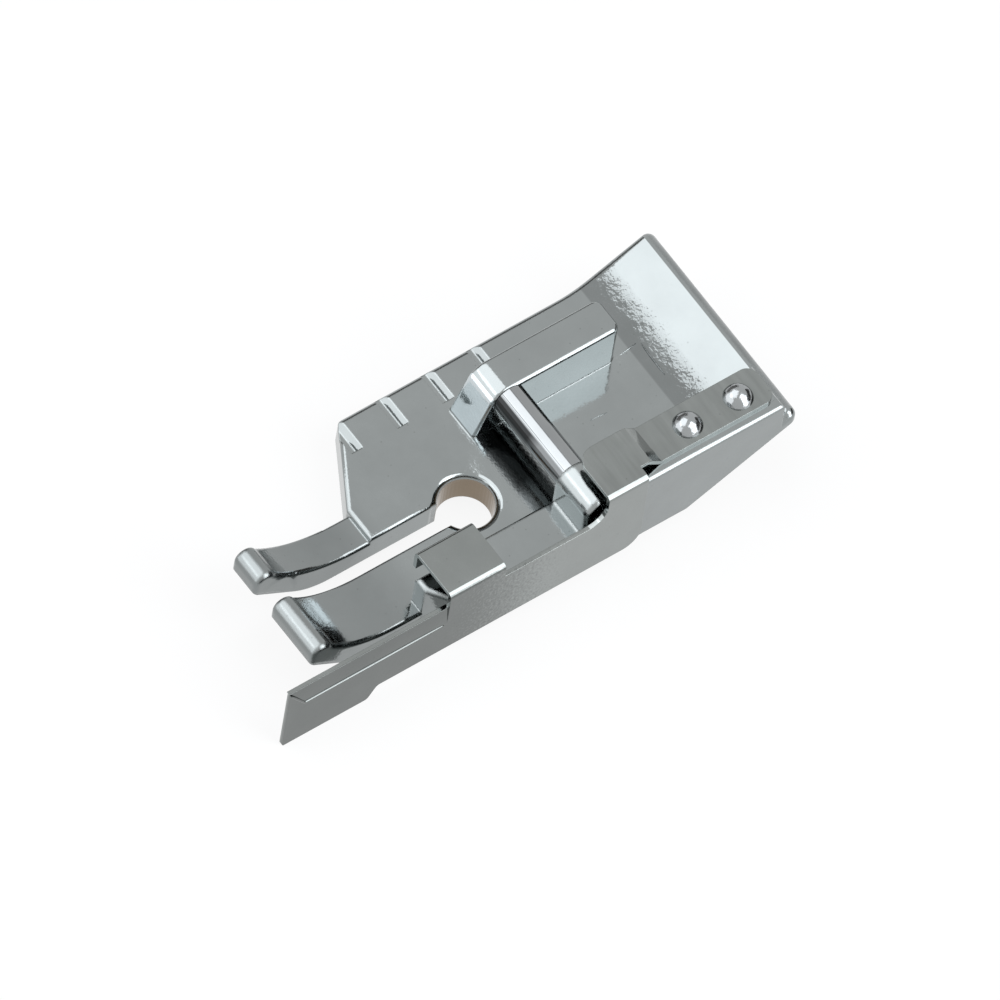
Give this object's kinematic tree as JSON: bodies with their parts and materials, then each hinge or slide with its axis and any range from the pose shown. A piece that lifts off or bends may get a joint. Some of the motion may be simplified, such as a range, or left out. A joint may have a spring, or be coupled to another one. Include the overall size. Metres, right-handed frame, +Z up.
{
  "type": "sewing machine presser foot",
  "caption": "Clip-on patchwork presser foot: slotted cast sole, edge marks, shank pin and a riveted sheet edge guide on the right.",
  "frame": {"origin": "on the axis of the needle hole, at the sole", "axes": "+X towards the guide, +Y to the rear, the way the fabric feeds, +Z up"},
  "size_m": [0.0147, 0.0356, 0.0076],
  "materials": {
    "cast_chrome": "polished",
    "sheet_chrome": "polished",
    "pin_steel": "polished",
    "rivet_steel": "polished"
  },
  "bodies": {
    "root": {"foot_base": "cast_chrome", "edge_guide": "sheet_chrome", "snap_pin": "pin_steel", "front_rivet": "rivet_steel", "rear_rivet": "rivet_steel"}
  },
  "joints": []
}
